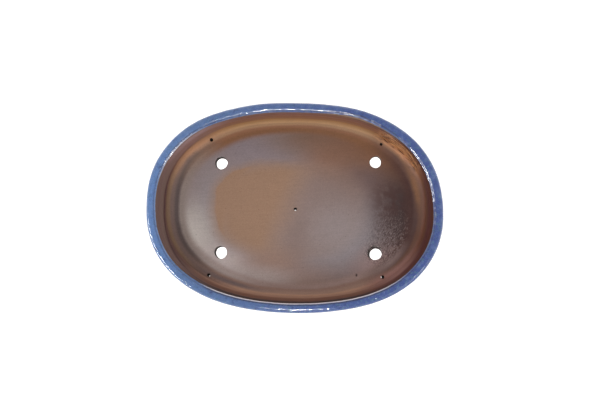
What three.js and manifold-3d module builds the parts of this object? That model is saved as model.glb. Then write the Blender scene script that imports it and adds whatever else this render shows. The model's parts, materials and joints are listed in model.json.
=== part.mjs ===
// Oval bonsai pot in stoneware with a blue glaze.
// The clay is a shallow base, a wall band, a lip and four feet, luted together with slip; the glaze is a
// thin glassy coat over the outside and the lip. Millimetres, Z up. X runs along the pot and Y across it,
// and the origin is on the table under the middle. The front of the pot faces -Y.

import * as THREE from 'three';
import { mergeVertices } from 'three/addons/utils/BufferGeometryUtils.js';
import Module from 'manifold-3d';

const wasm = await Module();
wasm.setup();

// Overall size, over the glaze.
const LENGTH = 300;
const WIDTH = 212;
const HEIGHT = 65;
const OVAL_EXPONENT = 2.32; // 2 is a plain ellipse, and more is squarer
const STATIONS = 72; // corners round the oval

// Heights above the table.
const FOOT_HEIGHT = 9;
const FLOOR_TOP = 17;
const BASE_SEAM = 27;
const LIP_SEAM = 52;

const GLAZE_THICKNESS = 0.8;
const CLAY_TOP = HEIGHT - GLAZE_THICKNESS;

// The lip's rounding falls this far below its crown, outside and inside.
const LIP_SHOULDER = 4.8;
const LIP_BRINK = 3.6;

// Insets: how far a surface stands inside the widest oval.
const LIP_OUTSIDE = GLAZE_THICKNESS;
const LIP_INSIDE = 9.9;
const LIP_CROWN = 5.3;
const NECK = 4.8;
const BASE_SEAM_OUTSIDE = 5.9;
const HEEL_OUTSIDE = 7;
const UNDERSIDE_EDGE = 9.6;
const LIP_SEAM_INSIDE = 10.6;
const BASE_SEAM_INSIDE = 12.4;
const COVE_RADIUS = 7;
const COVE_TOP_INSIDE = 12.6;
const FLOOR_EDGE = COVE_TOP_INSIDE + COVE_RADIUS;

// Feet: each is a block that follows the oval between two directions, measured from the long axis.
const FOOT_START = THREE.MathUtils.degToRad(12);
const FOOT_END = THREE.MathUtils.degToRad(33);
const FOOT_STEPS = 14;
const FOOT_OUTSIDE = 10.6;
const FOOT_INSIDE = 23;
const FOOT_BATTER = 1.4; // how far both faces lean in from top to bottom
const FOOT_TIP_THICKNESS = 2.6;
const FOOT_OGEE = 0.24; // share of the foot's length that each rising end takes

// Holes through the floor, pierced by hand, so none is exactly in line.
const DRAIN_RADIUS = 6.3;
const DRAIN_BEVEL = 0.6;
const DRAIN_SIDES = 32;
const DRAIN_CENTRES = [
  [-81, 47],
  [84.5, 51],
  [-79, -49],
  [86.5, -47],
];
const WIRE_RADIUS = 1.6;
const WIRE_SIDES = 14;
const WIRE_CENTRES = [
  [-92, 71.5],
  [90, 70],
  [-91, -74],
  [94.5, -71.5],
  [0, -1],
];

const clayMaterial = new THREE.MeshStandardMaterial({ color: '#7a6258', roughness: 0.55, metalness: 0 });
const glazeMaterial = new THREE.MeshStandardMaterial({ color: '#5d7dad', roughness: 0.14, metalness: 0 });

const point = (inset, height) => new THREE.Vector2(inset, height);

// Outside of the clay as profile curves, bottom to top, each starting where the last one ends.
const heel = new THREE.CubicBezierCurve(
  point(UNDERSIDE_EDGE, FOOT_HEIGHT),
  point(UNDERSIDE_EDGE - 1.6, FOOT_HEIGHT),
  point(HEEL_OUTSIDE + 0.2, FOOT_HEIGHT + 1),
  point(HEEL_OUTSIDE, FOOT_HEIGHT + 4),
).getPoints(4);
const flank = new THREE.LineCurve(
  point(HEEL_OUTSIDE, FOOT_HEIGHT + 4),
  point(BASE_SEAM_OUTSIDE, BASE_SEAM),
).getPoints(2);
const side = new THREE.QuadraticBezierCurve(
  point(BASE_SEAM_OUTSIDE, BASE_SEAM),
  point(NECK + 0.1, (BASE_SEAM + LIP_SEAM) / 2 + 3),
  point(NECK, LIP_SEAM),
).getPoints(3);
const lipUnderside = new THREE.CubicBezierCurve(
  point(NECK, LIP_SEAM),
  point(NECK, LIP_SEAM + 3.4),
  point(LIP_OUTSIDE, LIP_SEAM + 1.6),
  point(LIP_OUTSIDE, CLAY_TOP - LIP_SHOULDER),
).getPoints(5);
const lipShoulder = new THREE.EllipseCurve(
  LIP_CROWN, CLAY_TOP - LIP_SHOULDER, LIP_CROWN - LIP_OUTSIDE, LIP_SHOULDER, Math.PI, Math.PI / 2, true,
).getPoints(4);
const lipBrink = new THREE.EllipseCurve(
  LIP_CROWN, CLAY_TOP - LIP_BRINK, LIP_INSIDE - LIP_CROWN, LIP_BRINK, Math.PI / 2, 0, true,
).getPoints(4);

// Inside of the clay, top to bottom.
const lipBore = new THREE.LineCurve(
  point(LIP_INSIDE, CLAY_TOP - LIP_BRINK),
  point(LIP_SEAM_INSIDE, LIP_SEAM),
).getPoints(2);
const wallInside = new THREE.LineCurve(
  point(LIP_SEAM_INSIDE, LIP_SEAM),
  point(BASE_SEAM_INSIDE, BASE_SEAM),
).getPoints(2);
const coveArc = new THREE.EllipseCurve(
  FLOOR_EDGE, FLOOR_TOP + COVE_RADIUS, COVE_RADIUS, COVE_RADIUS, Math.PI, 1.5 * Math.PI,
).getPoints(5);
const cove = [point(BASE_SEAM_INSIDE, BASE_SEAM), ...coveArc];

// Joins runs of profile points end to end, dropping the point that neighbours share.
function chain(...runs) {
  return runs.flatMap((run, i) => (i === 0 ? run : run.slice(1)));
}

// A point of the oval that stands `inset` inside the widest one, in direction `angle` from the long axis.
function ovalPoint(angle, inset, height) {
  const c = Math.cos(angle);
  const s = Math.sin(angle);
  const along = Math.abs(c / (LENGTH / 2 - inset)) ** OVAL_EXPONENT;
  const across = Math.abs(s / (WIDTH / 2 - inset)) ** OVAL_EXPONENT;
  const radius = (along + across) ** (-1 / OVAL_EXPONENT);
  return [radius * c, radius * s, height];
}

function indexedGeometry(positions, triangles) {
  const geometry = new THREE.BufferGeometry();
  geometry.setAttribute('position', new THREE.Float32BufferAttribute(positions, 3));
  geometry.setIndex(triangles);
  geometry.computeVertexNormals();
  return geometry;
}

// Sweeps a profile round the oval. The profile runs up the outside and down the inside. A closed profile
// makes a ring; an open one starts and ends with flat discs, so it makes a dish. Each four-sided facet is
// split from its lower edge at one station to its upper edge at the next, whichever way the profile runs,
// so two rings that touch along the same points have exactly the same facets there.
function sweepOval(profile, closed) {
  const positions = [];
  const triangles = [];
  const corner = (i, k) => i * STATIONS + (k % STATIONS);
  for (const p of profile) {
    for (let k = 0; k < STATIONS; k++) {
      positions.push(...ovalPoint((2 * Math.PI * k) / STATIONS, p.x, p.y));
    }
  }
  const edges = closed ? profile.length : profile.length - 1;
  for (let i = 0; i < edges; i++) {
    const j = (i + 1) % profile.length;
    const p = profile[i];
    const q = profile[j];
    const startIsLower = p.y < q.y || (p.y === q.y && p.x < q.x);
    for (let k = 0; k < STATIONS; k++) {
      const [a, b, c, d] = [corner(i, k), corner(i, k + 1), corner(j, k + 1), corner(j, k)];
      triangles.push(...(startIsLower ? [a, b, c, a, c, d] : [a, b, d, b, c, d]));
    }
  }
  if (!closed) {
    const last = profile.length - 1;
    const bottomCentre = profile.length * STATIONS;
    const topCentre = bottomCentre + 1;
    positions.push(0, 0, profile[0].y, 0, 0, profile[last].y);
    for (let k = 0; k < STATIONS; k++) {
      triangles.push(bottomCentre, corner(0, k + 1), corner(0, k));
      triangles.push(topCentre, corner(last, k), corner(last, k + 1));
    }
  }
  return indexedGeometry(positions, triangles);
}

function toSolid(geometry) {
  const bare = geometry.clone();
  bare.deleteAttribute('normal');
  bare.deleteAttribute('uv');
  const merged = mergeVertices(bare);
  return new wasm.Manifold(new wasm.Mesh({
    numProp: 3,
    vertProperties: merged.attributes.position.array,
    triVerts: Uint32Array.from(merged.index.array),
  }));
}

function toGeometry(solid) {
  const { vertProperties, triVerts } = solid.getMesh();
  return indexedGeometry(Array.from(vertProperties), Array.from(triVerts));
}

// A round cutter along Z whose profile is a list of [radius, height] pairs, bottom to top.
function roundCutter(profile, sides, [x, y]) {
  const onAxis = [[0, profile[0][1]], ...profile, [0, profile[profile.length - 1][1]]];
  const cutter = new THREE.LatheGeometry(onAxis.map(([r, z]) => new THREE.Vector2(r, z)), sides);
  cutter.rotateX(Math.PI / 2);
  cutter.translate(x, y, 0);
  return toSolid(cutter);
}

// The dish: the pot's floor with its rounded cove and the lowest part of the wall, pierced for water
// and for the wires that tie a tree down.
function makeBase() {
  const reach = COVE_RADIUS / 2;
  const drainProfile = [
    [DRAIN_RADIUS + DRAIN_BEVEL + 1, FOOT_HEIGHT - 1],
    [DRAIN_RADIUS, FOOT_HEIGHT + DRAIN_BEVEL],
    [DRAIN_RADIUS, FLOOR_TOP - DRAIN_BEVEL],
    [DRAIN_RADIUS + DRAIN_BEVEL + 1, FLOOR_TOP + 1],
  ];
  const wireProfile = [
    [WIRE_RADIUS, FOOT_HEIGHT - 1],
    [WIRE_RADIUS, FLOOR_TOP + reach],
  ];
  let base = toSolid(sweepOval(chain(heel, flank, [flank.at(-1), cove[0]], cove), false));
  for (const centre of DRAIN_CENTRES) {
    base = base.subtract(roundCutter(drainProfile, DRAIN_SIDES, centre));
  }
  for (const centre of WIRE_CENTRES) {
    base = base.subtract(roundCutter(wireProfile, WIRE_SIDES, centre));
  }
  return toGeometry(base);
}

function makeWall() {
  return sweepOval([...side, ...wallInside], true);
}

function makeLip() {
  return sweepOval(chain(lipUnderside, lipShoulder, lipBrink, lipBore), true);
}

// The glaze lies on the clay from just above the heel to the inner edge of the lip, and thins to nothing
// at both ends.
function makeGlaze() {
  const clay = chain(heel.slice(2), flank, side, lipUnderside, lipShoulder, lipBrink);
  const skin = clay.slice(1, -1).map((p, i) => {
    const along = clay[i + 2].clone().sub(clay[i]).normalize();
    return point(p.x - along.y * GLAZE_THICKNESS, p.y + along.x * GLAZE_THICKNESS);
  });
  return sweepOval([clay[0], ...skin, ...clay.slice(1).reverse()], true);
}

// Height of a foot's underside, `along` running from 0 to 1 between its tips: flat on the table in the
// middle, with an ogee up to each tip.
function footUnderside(along) {
  const fromTip = Math.min(along, 1 - along) / FOOT_OGEE;
  const fall = THREE.MathUtils.smoothstep(fromTip, 0, 1);
  return (FOOT_HEIGHT - FOOT_TIP_THICKNESS) * (1 - fall);
}

function makeFoot(towardsX, towardsY) {
  const positions = [];
  const triangles = [];
  const mirrored = towardsX * towardsY < 0;
  for (let k = 0; k <= FOOT_STEPS; k++) {
    const along = k / FOOT_STEPS;
    const angle = THREE.MathUtils.lerp(FOOT_START, FOOT_END, along);
    const bottom = footUnderside(along);
    const lean = FOOT_BATTER * (1 - bottom / FOOT_HEIGHT);
    const section = [
      [FOOT_OUTSIDE, FOOT_HEIGHT],
      [FOOT_OUTSIDE + lean, bottom],
      [FOOT_INSIDE - lean, bottom],
      [FOOT_INSIDE, FOOT_HEIGHT],
    ];
    for (const [inset, height] of section) {
      const [x, y, z] = ovalPoint(angle, inset, height);
      positions.push(towardsX * x, towardsY * y, z);
    }
  }
  const sides = 4;
  const facet = (a, b, c, d) => triangles.push(...(mirrored ? [a, c, b, a, d, c] : [a, b, c, a, c, d]));
  for (let k = 0; k < FOOT_STEPS; k++) {
    for (let i = 0; i < sides; i++) {
      const j = (i + 1) % sides;
      facet(k * sides + i, k * sides + j, (k + 1) * sides + j, (k + 1) * sides + i);
    }
  }
  const far = FOOT_STEPS * sides;
  facet(3, 2, 1, 0);
  facet(far, far + 1, far + 2, far + 3);
  return indexedGeometry(positions, triangles);
}

function addPiece(group, name, geometry, material) {
  const mesh = new THREE.Mesh(geometry, material.clone());
  mesh.name = name;
  group.add(mesh);
}

const pot = new THREE.Group();
pot.name = 'bonsai_pot';
addPiece(pot, 'base', makeBase(), clayMaterial);
addPiece(pot, 'wall', makeWall(), clayMaterial);
addPiece(pot, 'rim_lip', makeLip(), clayMaterial);
addPiece(pot, 'glaze_coat', makeGlaze(), glazeMaterial);
addPiece(pot, 'foot_front_left', makeFoot(-1, -1), clayMaterial);
addPiece(pot, 'foot_front_right', makeFoot(1, -1), clayMaterial);
addPiece(pot, 'foot_back_left', makeFoot(-1, 1), clayMaterial);
addPiece(pot, 'foot_back_right', makeFoot(1, 1), clayMaterial);

export default pot;
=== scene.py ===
"""The looks of an oval glazed bonsai pot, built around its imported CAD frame.

Lengths in this script are millimetres until a mesh is made. X runs along the pot, Y across it and
Z up, and the photo's camera looks down on it with the front, at -Y, at the bottom.
A profile is a list of [inset, height] points, where inset is how far a point stands inside the
widest oval.
"""

import json
import math

import bpy
import numpy as np
from mathutils import Matrix, Vector, noise
from mathutils.geometry import delaunay_2d_cdt


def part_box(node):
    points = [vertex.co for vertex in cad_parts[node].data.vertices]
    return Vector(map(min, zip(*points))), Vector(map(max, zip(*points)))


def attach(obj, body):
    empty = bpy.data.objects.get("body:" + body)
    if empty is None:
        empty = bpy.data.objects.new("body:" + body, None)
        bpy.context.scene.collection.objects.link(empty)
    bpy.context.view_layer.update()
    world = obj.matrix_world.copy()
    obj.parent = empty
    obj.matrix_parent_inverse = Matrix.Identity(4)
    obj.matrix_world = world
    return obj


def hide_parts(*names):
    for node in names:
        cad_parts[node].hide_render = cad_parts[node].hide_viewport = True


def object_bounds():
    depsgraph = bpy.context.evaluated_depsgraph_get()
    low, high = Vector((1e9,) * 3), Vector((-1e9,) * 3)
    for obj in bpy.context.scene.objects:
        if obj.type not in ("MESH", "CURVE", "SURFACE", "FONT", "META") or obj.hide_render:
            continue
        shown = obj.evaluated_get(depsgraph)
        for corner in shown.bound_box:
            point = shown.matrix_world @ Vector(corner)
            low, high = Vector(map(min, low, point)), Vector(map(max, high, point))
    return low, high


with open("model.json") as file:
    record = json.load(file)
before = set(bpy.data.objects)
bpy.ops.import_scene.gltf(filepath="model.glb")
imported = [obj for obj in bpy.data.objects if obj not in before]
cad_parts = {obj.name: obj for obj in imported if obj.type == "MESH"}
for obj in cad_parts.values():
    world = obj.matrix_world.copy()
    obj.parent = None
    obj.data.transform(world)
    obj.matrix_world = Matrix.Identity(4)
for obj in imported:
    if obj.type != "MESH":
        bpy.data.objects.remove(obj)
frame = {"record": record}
cad_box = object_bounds()
cad_low, cad_high = cad_box

# ---------------------------------------------------------------- sizes
MM = 0.001
HALF_LENGTH = (cad_high.x - cad_low.x) / 2 / MM
HALF_WIDTH = (cad_high.y - cad_low.y) / 2 / MM
TOP = cad_high.z / MM
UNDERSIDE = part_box("base")[0].z / MM
BASE_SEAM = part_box("wall")[0].z / MM
LIP_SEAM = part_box("rim_lip")[0].z / MM
CLAY_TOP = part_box("rim_lip")[1].z / MM
GLAZE = TOP - CLAY_TOP

# The outline is a superellipse. Every ring round the pot has this many points.
OVAL_EXPONENT = 2.32
STATIONS = 720

# Insets up the outside and down the inside of a section through the pot.
UNDERSIDE_EDGE = 9.6
HEEL_OUTSIDE = 7.0
BASE_SEAM_OUTSIDE = 5.9
NECK = 4.8
LIP_OUTSIDE = GLAZE
LIP_CROWN = 5.3
LIP_INSIDE = 9.9
LIP_SEAM_INSIDE = 10.6
BASE_SEAM_INSIDE = 12.4
COVE_TOP_INSIDE = 12.6

# How far the rounding of the lip goes down, outside and inside, and how full the inside one is.
LIP_SHOULDER = 4.8
LIP_BRINK = 3.6
LIP_BRINK_FULLNESS = 1.72

# The floor, and the hollow curve round it: at the pot's long sides, and what its two ends add.
FLOOR_TOP = 17.0
COVE_WIDE = 8.6
COVE_WIDER = 5.4
COVE_TALL = 7.4
COVE_TALLER = 1.6

# The floor is a sheet of triangles about this wide from this inset inward, and swept rings outside.
FLOOR_SHEET = 12.9
GRID = 1.5

# The pressed line on the inside wall, and how it climbs with the square of Y at the front.
SEAM_LINE = 31.0
SEAM_CLIMB = 0.0032

# A foot runs between two angles from the pot's long axis. Its sides lean in, it narrows towards its
# tips, and over a share of its length at each end it rises until only a low tip is left.
FOOT_START = math.radians(12)
FOOT_END = math.radians(33)
FOOT_OUTSIDE = 10.6
FOOT_INSIDE = 23.0
FOOT_BATTER = 1.4
FOOT_NARROWING = 3.4
FOOT_FLARE = 0.8
FOOT_TIP = 2.6
FOOT_OGEE = 0.24
FOOT_STEPS = 72

# The glaze on a foot: how thick it is, how far above the sole it stops, and its rows of points. It
# counts as this far from the lip, so that it is painted like the glaze on the wall.
FOOT_GLAZE = 0.55
FOOT_GLAZE_STOP = 1.7
FOOT_GLAZE_ROWS = 26
FAR_FROM_LIP = 20.0

openings = {o["name"]: o["box_m"] for o in frame["record"]["physics"]["openings"]}


def opening_centre(name, shift=(0, 0)):
    low, high = openings[name]
    return tuple((low[i] + high[i]) / 2 / MM + shift[i] for i in (0, 1))


def hole_at(at, lean, top, low, wave):
    """A hole's centre at the top, how far off its lower end is, both radii, and its unevenness."""
    return {"at": at, "lean": lean, "top": top, "low": low, "wave": wave}


# The photo shows the holes pierced at a slant, and one of them off the CAD's place.
DRAINS = [
    hole_at(opening_centre("drain_back_left"), (0.2, -0.6), 6.8, 6.0, 0.020),
    hole_at(opening_centre("drain_back_right"), (0.0, -0.3), 6.1, 6.1, 0.022),
    hole_at(opening_centre("drain_front_left"), (0.8, -0.9), 6.8, 6.4, 0.012),
    hole_at(opening_centre("drain_front_right", (-1.2, 1.2)), (1.5, -1.7), 7.5, 6.2, 0.022),
]
TORN_DRAIN = DRAINS[3]
WIRES = [
    hole_at((-92, 71.5), (1.7, -1.7), 1.8, 1.5, 0.03),
    hole_at((90, 70), (-2.0, -1.4), 1.5, 1.5, 0.05),
    hole_at((-90.5, -73.2), (0.1, -2.0), 1.7, 1.0, 0.04),
    hole_at((94.2, -70.9), (-1.6, -0.8), 1.8, 1.05, 0.04),
    hole_at((0, -1), (-0.2, -1.9), 1.8, 1.25, 0.03),
]
# A small gouge in the floor, and how far the finer mesh round it reaches.
PIT = (66.6, -69.8)
PIT_PATCH = 2.9


# ---------------------------------------------------------------- curves and the oval
def bezier(p0, p1, p2, p3):
    t = np.linspace(0, 1, 41)[:, None]
    p0, p1, p2, p3 = (np.array(p, float) for p in (p0, p1, p2, p3))
    return (1 - t) ** 3 * p0 + 3 * (1 - t) ** 2 * t * p1 + 3 * (1 - t) * t**2 * p2 + t**3 * p3


def quadratic(p0, p1, p2):
    p0, p1, p2 = (np.array(p, float) for p in (p0, p1, p2))
    return bezier(p0, p0 + (p1 - p0) * 2 / 3, p2 + (p1 - p2) * 2 / 3, p2)


def line(p0, p1):
    return np.linspace(p0, p1, 21)


def arc(centre, radii, start, end, fullness=2.0):
    """Part of an ellipse, or of a flatter-sided superellipse when fullness is under 2."""
    a = np.radians(np.linspace(start, end, 61))
    c, s = np.cos(a), np.sin(a)
    u = np.sign(c) * np.abs(c) ** (2 / fullness)
    v = np.sign(s) * np.abs(s) ** (2 / fullness)
    return np.stack([centre[0] + radii[0] * u, centre[1] + radii[1] * v], 1)


def chain(*runs):
    return np.concatenate([runs[0]] + [r[1:] for r in runs[1:]])


def arc_length(points):
    return np.concatenate([[0], np.cumsum(np.linalg.norm(np.diff(points, axis=0), axis=1))])


def along(points, lengths):
    """The points that lie at these lengths along a polyline."""
    s = arc_length(points)
    return np.stack([np.interp(lengths, s, points[:, i]) for i in (0, 1)], -1)


def resample(points, step):
    total = arc_length(points)[-1]
    return along(points, np.linspace(0, total, max(2, round(total / step) + 1)))


def oval(angle, inset):
    c, s = np.cos(angle), np.sin(angle)
    reach_x = np.abs(c / (HALF_LENGTH - inset)) ** OVAL_EXPONENT
    reach_y = np.abs(s / (HALF_WIDTH - inset)) ** OVAL_EXPONENT
    radius = (reach_x + reach_y) ** (-1 / OVAL_EXPONENT)
    return radius * c, radius * s


def inset_of(x, y):
    """How far points stand inside the widest oval, by bisection."""
    low = np.full(np.shape(x), -3.0)
    high = np.full(np.shape(x), HALF_WIDTH - 1e-3)
    for _ in range(24):
        middle = (low + high) / 2
        reach_x = np.abs(x / (HALF_LENGTH - middle)) ** OVAL_EXPONENT
        reach_y = np.abs(y / (HALF_WIDTH - middle)) ** OVAL_EXPONENT
        outside = reach_x + reach_y > 1
        high = np.where(outside, middle, high)
        low = np.where(outside, low, middle)
    return (low + high) / 2


def smooth(value, low, high):
    t = np.clip((value - low) / (high - low), 0, 1)
    return t * t * (3 - 2 * t)


def wander(points, size, seed):
    """Smooth noise from -1 to 1, with lumps about size millimetres across."""
    shifted = np.asarray(points, float) / size + np.array([seed * 17.3, seed * 5.1, seed * 9.7])
    return np.array([noise.noise(p) for p in shifted.tolist()])


def bell(value, centre, width):
    """1 at centre, falling to 1/e at width either side of it."""
    return np.exp(-(((value - centre) / width) ** 2))


# Runs of the section, which meet end to end.
HEEL = bezier(
    (UNDERSIDE_EDGE, UNDERSIDE),
    (UNDERSIDE_EDGE - 1.6, UNDERSIDE),
    (HEEL_OUTSIDE + 0.2, UNDERSIDE + 1),
    (HEEL_OUTSIDE, UNDERSIDE + 4),
)
FLANK = line((HEEL_OUTSIDE, UNDERSIDE + 4), (BASE_SEAM_OUTSIDE, BASE_SEAM))
SIDE = quadratic(
    (BASE_SEAM_OUTSIDE, BASE_SEAM),
    (NECK + 0.1, (BASE_SEAM + LIP_SEAM) / 2 + 3),
    (NECK, LIP_SEAM),
)
LIP_UNDERSIDE = bezier(
    (NECK, LIP_SEAM),
    (NECK, LIP_SEAM + 3.4),
    (LIP_OUTSIDE, LIP_SEAM + 1.6),
    (LIP_OUTSIDE, CLAY_TOP - LIP_SHOULDER),
)
SHOULDER = arc(
    (LIP_CROWN, CLAY_TOP - LIP_SHOULDER), (LIP_CROWN - LIP_OUTSIDE, LIP_SHOULDER), 180, 90
)
BRINK = arc(
    (LIP_CROWN, CLAY_TOP - LIP_BRINK),
    (LIP_INSIDE - LIP_CROWN, LIP_BRINK),
    90,
    0,
    LIP_BRINK_FULLNESS,
)
BORE = line((LIP_INSIDE, CLAY_TOP - LIP_BRINK), (LIP_SEAM_INSIDE, LIP_SEAM))
WALL_INSIDE = line((LIP_SEAM_INSIDE, LIP_SEAM), (BASE_SEAM_INSIDE, BASE_SEAM))


def cove_radii(angle):
    """How wide and how tall the hollow curve from wall to floor is, at an angle round the pot."""
    end = np.cos(angle) ** 2
    return COVE_WIDE + COVE_WIDER * end, COVE_TALL + COVE_TALLER * end


def into_cove(inset, angle):
    """0 where the wall's foot turns into the cove, 1 where the cove meets the flat floor."""
    wide, _ = cove_radii(angle)
    return (inset - COVE_TOP_INSIDE) / wide


def floor_height(x, y):
    """Height of the floor and of the lower cove, where the inside isn't too steep for this."""
    wide, tall = cove_radii(np.arctan2(y, x))
    reach = np.clip((COVE_TOP_INSIDE + wide - inset_of(x, y)) / wide, 0, 1)
    return FLOOR_TOP + tall * (1 - np.sqrt(1 - reach**2))


# ---------------------------------------------------------------- unevenness of a hand-finished pot
# Where the rim is out of true: direction and reach in degrees, and how far it stands out.
RIM_WARPS = [
    (-86, 20, 0.7),
    (-36, 34, 1.7),
    (-6, 10, 0.6),
    (18, 18, -1.6),
    (56, 12, 0.6),
    (122, 10, -0.5),
    (141, 8, 0.3),
    (160, 14, -0.5),
    (-118, 36, 0.6),
]

# Slow waves round the whole pot: how many, how high, and where they start in radians.
OUTWARD_WAVES = [(2, 0.26, 0.6), (3, 0.16, 2.1), (7, 0.08, 0.0)]
UPWARD_WAVES = [(2, 0.26, 1.9), (3, 0.16, 0.4), (8, 0.07, 1.0)]


def waves(angle, table):
    return sum(height * np.sin(count * angle + start) for count, height, start in table)


def handmade(points):
    """Moves points a little, as a pot is a little out of true: the rim more than the middle."""
    x, y, z = points.T
    angle = np.arctan2(y, x)
    reach = 1 - inset_of(x, y) / HALF_WIDTH
    out = waves(angle, OUTWARD_WAVES) * np.clip(reach, 0, 1) ** 3
    lift = waves(angle, UPWARD_WAVES) * smooth(z, UNDERSIDE + 1, TOP)
    for direction, spread, distance in RIM_WARPS:
        off = (np.degrees(angle) - direction + 180) % 360 - 180
        out = out + distance * bell(off, 0, spread) * smooth(z, FLOOR_TOP + 5, LIP_SEAM)
    return np.stack([x + out * np.cos(angle), y + out * np.sin(angle), z + lift], 1)


def inward_normals(points):
    """Directions that leave the inside surface: level on the wall and straight up on the floor."""
    x, y, z = points.T
    gx = np.sign(x) * np.abs(x / HALF_LENGTH) ** (OVAL_EXPONENT - 1) / HALF_LENGTH
    gy = np.sign(y) * np.abs(y / HALF_WIDTH) ** (OVAL_EXPONENT - 1) / HALF_WIDTH
    size = np.maximum(np.hypot(gx, gy), 1e-9)
    wide, tall = cove_radii(np.arctan2(y, x))
    level = np.clip((COVE_TOP_INSIDE + wide - inset_of(x, y)) / wide, 0, 1)
    level = np.where(z > FLOOR_TOP + tall, 1, level)
    up = np.sqrt(1 - level**2)
    return np.stack([-gx / size * level, -gy / size * level, up], 1)


def torn_edge(x, y):
    """The crumbs of clay that were pushed up round the front right drain hole when it was cut."""
    at_x, at_y = TORN_DRAIN["at"]
    turn = np.arctan2(y - at_y, x - at_x)
    distance = np.hypot(x - at_x, y - at_y) - TORN_DRAIN["top"]
    ragged = 0.55 + 0.45 * np.sin(3 * turn + 0.8) * np.sin(8 * turn + 1)
    rightward = smooth(np.cos(turn + 0.5), -0.4, 0.6)
    lip = 0.75 * ragged * bell(distance, 1.5, 0.8)
    wrinkle = 0.45 * ragged * rightward * bell(distance, 4.4, 0.9)
    return lip * (0.4 + 0.6 * rightward) + wrinkle


def seam_height(y):
    """The pressed line on the inside wall lies level at the back and climbs towards the front."""
    return SEAM_LINE + SEAM_CLIMB * np.minimum(y, 0) ** 2


def inside_relief(points):
    """Tool marks and lumps of the bare inside, in millimetres along its normal."""
    x, y, z = points.T
    angle = np.arctan2(y, x)
    below_lip = smooth(TOP - z, 4.5, 9)
    wall = smooth(z, FLOOR_TOP + 4, FLOOR_TOP + 9) * below_lip
    ridges = 0.07 * np.sin(2 * math.pi * (z + 1.5 * np.sin(2 * angle + 1)) / 9.5)
    ridges *= 1 + wander(points, 40, 31)
    groove = -0.26 * bell(z, seam_height(y), 2.4) * smooth(-x, 20, 90) * smooth(y, -72, -40)
    lumps = 0.20 * wander(points, 26, 1) + 0.10 * wander(points, 9, 2)
    lumps = lumps + 0.03 * wander(points, 3.2, 3)
    scraped = smooth(x, 50, 100) * smooth(-y, -60, -10) * (1 - wall)
    crumpled = bell(x, 100, 13) * bell(y, -40, 17) * (1 - wall)
    scrapes = 0.13 * wander(points, 4.2, 4) * scraped + 0.20 * wander(points, 3.8, 32) * crumpled
    pit = -1.1 * bell(x, PIT[0], 0.55) * bell(y, PIT[1], 1.15)
    return (ridges + groove) * wall + lumps * below_lip + scrapes + pit + torn_edge(x, y)


# ---------------------------------------------------------------- meshes
SHARP_ANGLE = math.radians(60)


def make_piece(name, points, faces, material, replaced=None, attributes=None):
    mesh = bpy.data.meshes.new(name)
    mesh.from_pydata((np.asarray(points) * MM).tolist(), [], [tuple(f) for f in faces])
    mesh.validate()
    mesh.polygons.foreach_set("use_smooth", [True] * len(mesh.polygons))
    mesh.set_sharp_from_angle(angle=SHARP_ANGLE)
    for key, values in (attributes or {}).items():
        attribute = mesh.attributes.new(key, "FLOAT", "POINT")
        attribute.data.foreach_set("value", np.asarray(values, np.float32))
    mesh.materials.append(material)
    piece = bpy.data.objects.new(name, mesh)
    bpy.context.scene.collection.objects.link(piece)
    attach(piece, "root")
    if replaced:
        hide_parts(replaced)


STATION_ANGLES = 2 * math.pi * np.arange(STATIONS) / STATIONS


def ring_points(insets, heights):
    """Points of rings round the pot, from arrays with a row per ring and a column per station."""
    insets, heights = np.broadcast_arrays(insets, heights)
    x, y = oval(STATION_ANGLES[None, :], insets)
    x, heights = np.broadcast_arrays(x, heights)
    return np.stack([x, y, heights], -1).reshape(-1, 3)


def ring_faces(rows, closed):
    faces = []
    for i in range(rows if closed else rows - 1):
        a = i * STATIONS
        b = ((i + 1) % rows) * STATIONS
        for k in range(STATIONS):
            n = (k + 1) % STATIONS
            faces.append((a + k, a + n, b + n, b + k))
    return faces


def with_relief(points):
    return points + inward_normals(points) * inside_relief(points)[:, None]


def clay_ring(name, outside, inside, material):
    """A band of clay: up its outside, across its top, down its inside and back along its foot."""
    profile = np.concatenate([outside, inside])
    points = ring_points(profile[:, :1], profile[:, 1:])
    split = len(outside) * STATIONS
    points[split:] = with_relief(points[split:])
    is_inside = np.arange(len(points)) >= split
    insets = np.repeat(profile[:, 0], STATIONS)
    faces = ring_faces(len(profile), True)
    angles = np.tile(STATION_ANGLES, len(profile))
    attributes = {"inside": is_inside, "cove": into_cove(insets, angles)}
    make_piece(name, handmade(points), faces, material, name, attributes)


# ---------------------------------------------------------------- the pierced base
# Radius of the rounding at a drain hole's two ends. Below a radius of 3, a hole is a wire hole.
EDGE_ROUNDING = {"top": 0.9, "low": 0.6}
WIRE_ROUNDING = 0.4
LARGEST_WIRE_HOLE = 3


def hole_outline(hole, end):
    """Directions and radii of a hole's edge, and its centre, at its top or its low end."""
    sides = 96 if hole["top"] > LARGEST_WIRE_HOLE else 32
    turn = 2 * math.pi * np.arange(sides) / sides
    seed = hole["at"][0] * 0.37 + hole["at"][1] * 0.11
    ripple = waves(turn, [(2, 1.0, seed), (3, 0.6, 2 * seed), (7, 0.4, seed)])
    lean = hole["lean"] if end == "low" else (0, 0)
    centre = np.array(hole["at"]) + np.array(lean)
    return turn, hole[end] * (1 + hole["wave"] * ripple), centre


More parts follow.
